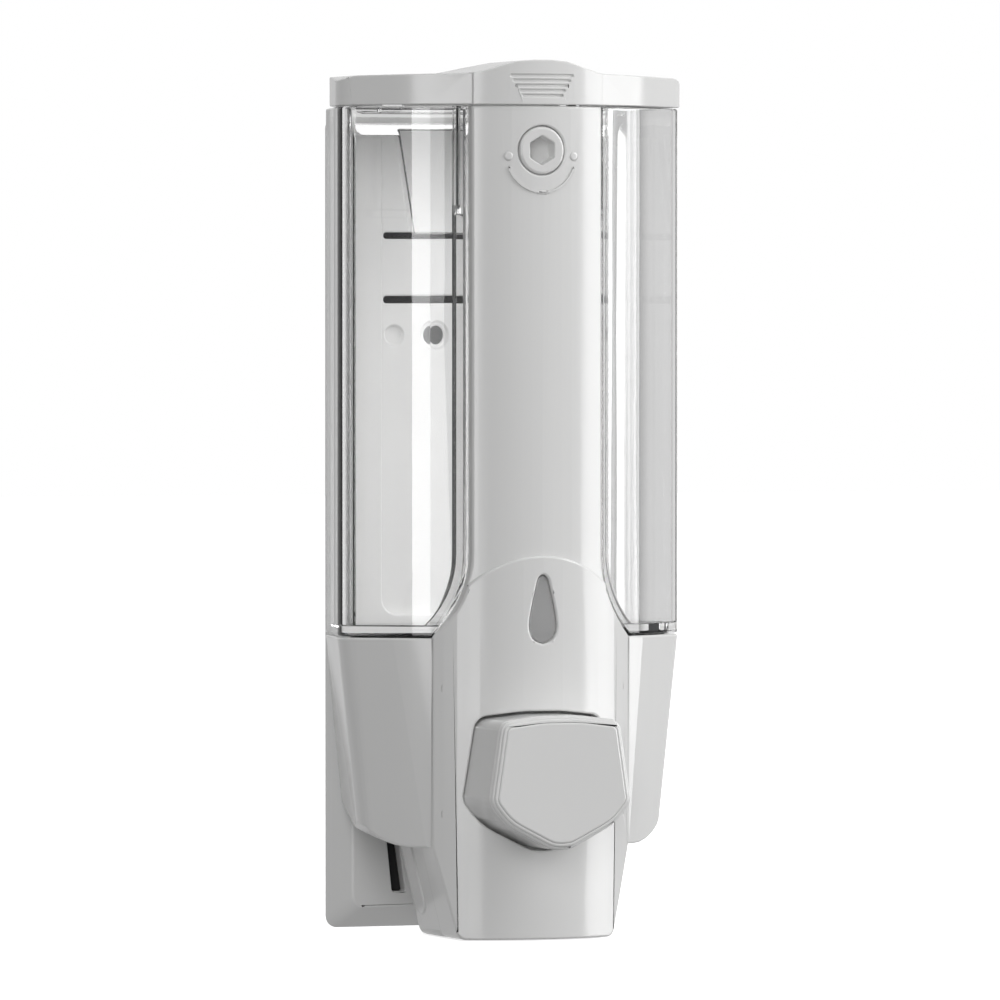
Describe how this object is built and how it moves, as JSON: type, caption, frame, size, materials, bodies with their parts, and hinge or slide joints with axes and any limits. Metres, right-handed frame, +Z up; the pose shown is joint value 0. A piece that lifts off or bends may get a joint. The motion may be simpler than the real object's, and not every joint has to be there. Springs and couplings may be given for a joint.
{
  "type": "wall mounted soap dispenser",
  "caption": "Wall mounted liquid soap dispenser with a clear tank, hinged locking lid, push button and piston pump behind a white housing.",
  "frame": {"origin": "middle of the rear face of the wall pad, half way up the dispenser, on the wall plane", "axes": "+Z up, +X to the viewer's right, +Y into the wall, so the front faces -Y"},
  "size_m": [0.088, 0.064, 0.21],
  "materials": {
    "white_shell": "glossy moulded white plastic",
    "white_button": "satin moulded white plastic",
    "clear_tank": "clear polished plastic",
    "inner_plastic": "plain moulded plastic",
    "black_rubber": "soft black rubber",
    "grey_rubber": "soft grey rubber",
    "steel": "plated steel",
    "zinc": "die-cast zinc",
    "dark_foam": "dark closed-cell foam"
  },
  "bodies": {
    "wall_unit": {"back_plate": "white_shell", "wall_pad": "dark_foam", "tank": "clear_tank", "front_housing": "white_shell", "sight_window": "clear_tank", "lid_hinge_pin_left": "steel", "lid_hinge_pin_right": "steel", "pump_cylinder": "inner_plastic", "pump_bracket": "inner_plastic", "bracket_screw_lower_left": "steel", "bracket_screw_upper_left": "steel", "bracket_screw_lower_right": "steel", "bracket_screw_upper_right": "steel", "return_spring": "steel", "inlet_seat": "grey_rubber", "collar_nut": "inner_plastic", "spout_tube": "inner_plastic", "drip_nozzle": "black_rubber", "tank_screw_left": "steel", "tank_screw_right": "steel"},
    "lid": {"lid": "white_shell", "lid_keeper": "zinc"},
    "lock": {"lock_plug": "white_shell", "lock_washer": "steel", "lock_cam": "zinc", "lock_cam_screw": "steel"},
    "button": {"push_button": "white_button", "piston_rod": "inner_plastic", "piston_seal": "black_rubber"},
    "inlet_ball": {"inlet_ball": "steel"}
  },
  "joints": [
    {"name": "lid_hinge", "type": "hinge", "parent": "wall_unit", "child": "lid", "pos_m": [0, -0.0086, 0.0991], "axis": [-1, 0, 0], "range_deg": [0, 100]},
    {"name": "lock_turn", "type": "hinge", "parent": "wall_unit", "child": "lock", "pos_m": [0, -0.045, 0.0834], "axis": [0, 1, 0], "range_deg": [0, 180]},
    {"name": "button_push", "type": "slide", "parent": "wall_unit", "child": "button", "axis": [0, 1, 0], "range_m": [0, 0.008], "stiffness_N_per_m": 400, "springref_m": -0.006, "deforming": ["return_spring"]},
    {"name": "inlet_ball_lift", "type": "slide", "parent": "wall_unit", "child": "inlet_ball", "axis": [0, 0, 1], "range_m": [0, 0.0024]}
  ]
}
